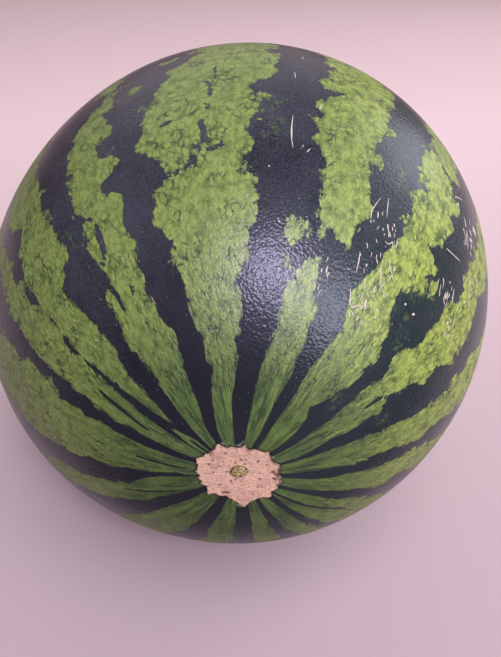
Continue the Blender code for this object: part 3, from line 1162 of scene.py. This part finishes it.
def scattered_scratches():
    """Short scratches of the patches, each as its points and its width."""
    chance = random.Random(SCRATCH_SEED)
    lines = []
    for lat, lon, half_length, half_width, count, mean, heading in SCRATCH_PATCHES:
        for _ in range(count):
            off = half_length * chance.uniform(-1.0, 1.0)
            room = half_width * sqrt(1.0 - (off / half_length) ** 2)
            middle = Vector((lat + off, lon + room * chance.uniform(-1.0, 1.0)))
            length = mean * chance.uniform(0.35, 1.6)
            turn = radians(chance.gauss(heading, 16.0))
            bow = length * chance.uniform(-0.16, 0.16)
            step = Vector((cos(turn), sin(turn))) * length / 2.0
            sideways = Vector((-sin(turn), cos(turn))) * bow
            points = [middle + step * s + sideways * (1.0 - s * s) for s in (-1.0, -0.5, 0.0, 0.5, 1.0)]
            lines.append((points, chance.uniform(0.12, 0.26)))
    return lines


def make_scratches(tree, material, sizes):
    """Healed corky scratches, each a thin raised sliver on the rind."""
    mesh = bpy.data.meshes.new("cork_scratches")
    points, edges, widths = [], [], []
    for line, width in LONG_SCRATCHES + scattered_scratches():
        first = len(points)
        points += [ball_point(a, b, -SCRATCH_SINK) for a, b in line]
        edges += [(first + i, first + i + 1) for i in range(len(line) - 1)]
        widths += [width] * len(line)
    mesh.from_pydata(points, edges, [])
    store = mesh.attributes.new("width", "FLOAT", "POINT")
    store.data.foreach_set("value", widths)
    return grown("cork_scratches", tree, mesh, material, sizes)


def build_fruit():
    skin = fruit_skin_group()
    ball_tree = grow_tree("grow_rind", skin, ball_source)
    drawn_tree = grow_tree("grow_button", skin, drawn_source)
    sliver_tree = grow_tree("grow_scratches", skin, sliver_source)
    sizes = fit_to_frame(ball_tree)
    middle = np.array(sizes["Middle"])

    flow_group = skin_flow_group()
    pattern_group = stripe_pattern_group()
    grain_group = fine_grain_group()
    rind_finish = rind_material(flow_group, pattern_group, grain_group, middle)
    rind = grown("rind", ball_tree, None, rind_finish, sizes)
    add_marks(rind, middle)
    cork = {name: cork_material(name, grain_group, middle, *look) for name, look in CORK_LOOKS.items()}
    nub_finish = nub_material(grain_group, middle)
    pieces = [
        (rind, "rind"),
        (make_blossom_scar(drawn_tree, cork["blossom_cork"], sizes), "cork"),
        (make_style_nub(drawn_tree, nub_finish, sizes), "cork"),
        (make_stem_scar(drawn_tree, cork["stem_cork"], sizes), "cork"),
        (make_scratches(sliver_tree, cork["scratch_cork"], sizes), "cork"),
    ]
    for piece, slot in pieces:
        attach(piece, BODY)
    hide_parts(FRUIT)
    return Vector(sizes["Middle"]), sizes["Girth radius"]


# ---------------------------------------------------------------- stage, light and camera


def make_floor():
    """Pale floor that runs up into a backdrop far behind the fruit, painted darker in front of the fruit
    and brighter towards the back.
    """
    half_width, near, far, rise = 9.0, -9.0, 4.0, 4.0
    bend_steps, bend_radius = 12, 1.5
    profile = [(near, 0.0)]
    for step in range(bend_steps + 1):
        turn = pi / 2.0 * step / bend_steps
        profile.append((far + bend_radius * sin(turn), bend_radius * (1.0 - cos(turn))))
    profile.append((far + bend_radius, rise))
    points = [(side * half_width, y, z) for y, z in profile for side in (-1, 1)]
    faces = [(2 * i, 2 * i + 1, 2 * i + 3, 2 * i + 2) for i in range(len(profile) - 1)]
    mesh = bpy.data.meshes.new("studio_floor")
    mesh.from_pydata(points, [], faces)
    mesh.shade_smooth()
    material, tree, shader = start_material("studio_floor", Roughness=0.55)
    where = tree.nodes.new("ShaderNodeTexCoord")
    spot = Wire(tree, where.outputs["Object"])
    # Painted light and shade: the floor's colour is darker in front of the fruit and brighter towards the
    # back
    front = mixed(tree, noise_at(tree, spot, 3.0, 3.0), (0.385, 0.290, 0.312), (0.426, 0.325, 0.348))
    depth = split(tree, spot)[1]
    colour = mixed(tree, ramp01(tree, depth, -0.35, 0.80), front, (0.92, 0.68, 0.70))
    # Mirrored in the glossy rind the floor is dimmer, most of all in front of the fruit
    path = tree.nodes.new("ShaderNodeLightPath")
    hush = Wire(tree, path.outputs["Is Glossy Ray"]) * (ramp01(tree, depth, -0.07, -0.13) * 0.58 + 0.22)
    feed(tree, shader.inputs["Base Color"], mixed(tree, hush, colour, (0.02, 0.02, 0.02)))
    mesh.materials.append(material)
    floor = bpy.data.objects.new("studio_floor", mesh)
    bpy.context.scene.collection.objects.link(floor)


def add_softbox(name, middle, direction, distance, size, power, colour, **visible):
    """Square area light at a distance from the fruit, facing it."""
    light = bpy.data.lights.new(name, "AREA")
    light.shape, light.size = "SQUARE", size
    light.energy, light.color = power, colour
    lamp = bpy.data.objects.new(name, light)
    lamp.location = middle + Vector(direction).normalized() * distance
    lamp.rotation_euler = (middle - lamp.location).to_track_quat("-Z", "Y").to_euler()
    lamp.visible_glossy = visible.get("glossy", True)
    lamp.visible_diffuse = visible.get("diffuse", True)
    bpy.context.scene.collection.objects.link(lamp)


def light_studio(middle):
    add_softbox("key", middle, (0.30, -0.50, 1.0), 3.0, 2.6, 74.0, (1.0, 0.98, 0.95), glossy=False)
    add_softbox("glint", middle, (0.21, -0.70, 0.66), 1.7, 0.42, 17.0, (0.80, 0.74, 1.0))
    add_softbox("sheen", middle, (0.21, -0.70, 0.66), 1.7, 0.42, 31.0, (0.70, 0.61, 1.0), diffuse=False)
    add_softbox("haze", middle, (0.62, -0.74, 0.34), 2.2, 0.8, 20.0, (0.74, 0.77, 1.0), diffuse=False)
    add_softbox("ceiling", middle, (-0.60, 0.20, 1.0), 3.2, 4.0, 24.0, (0.90, 0.85, 1.0), diffuse=False)
    add_softbox("side_wash", middle, (0.80, 0.12, 0.60), 2.4, 1.5, 9.0, (0.80, 0.84, 1.0), diffuse=False)
    add_softbox("right_fill", middle, (0.64, -0.66, 0.38), 2.2, 1.0, 10.0, (0.88, 0.90, 1.0))
    add_softbox("left_fill", middle, (-1.0, -0.5, 0.6), 2.4, 1.6, 3.0, (1.0, 1.0, 1.0))
    add_softbox("top_wash", middle, (-0.1, 0.85, 0.80), 3.0, 3.2, 14.0, (0.92, 0.91, 1.0))
    add_softbox("back_rim", middle, (0.78, 0.50, 0.42), 2.4, 1.3, 13.0, (0.86, 0.89, 1.0))
    world = bpy.data.worlds.new("studio")
    world.use_nodes = True
    background = world.node_tree.nodes["Background"]
    background.inputs["Color"].default_value = (0.88, 0.84, 0.88, 1.0)
    background.inputs["Strength"].default_value = 0.20
    bpy.context.scene.world = world
    bpy.context.scene.view_settings.view_transform = "Standard"


def add_camera(middle, girth_radius):
    data = bpy.data.cameras.new("camera")
    data.lens, data.sensor_width = CAMERA_LENS, CAMERA_SENSOR
    camera = bpy.data.objects.new("camera", data)
    camera.location = middle + CAMERA_OFFSET * girth_radius
    camera.rotation_euler = Euler((CAMERA_PITCH, CAMERA_ROLL, CAMERA_YAW), "XYZ")
    bpy.context.scene.collection.objects.link(camera)
    bpy.context.scene.camera = camera


fruit_middle, fruit_radius = build_fruit()
make_floor()
light_studio(fruit_middle)
add_camera(fruit_middle, fruit_radius)
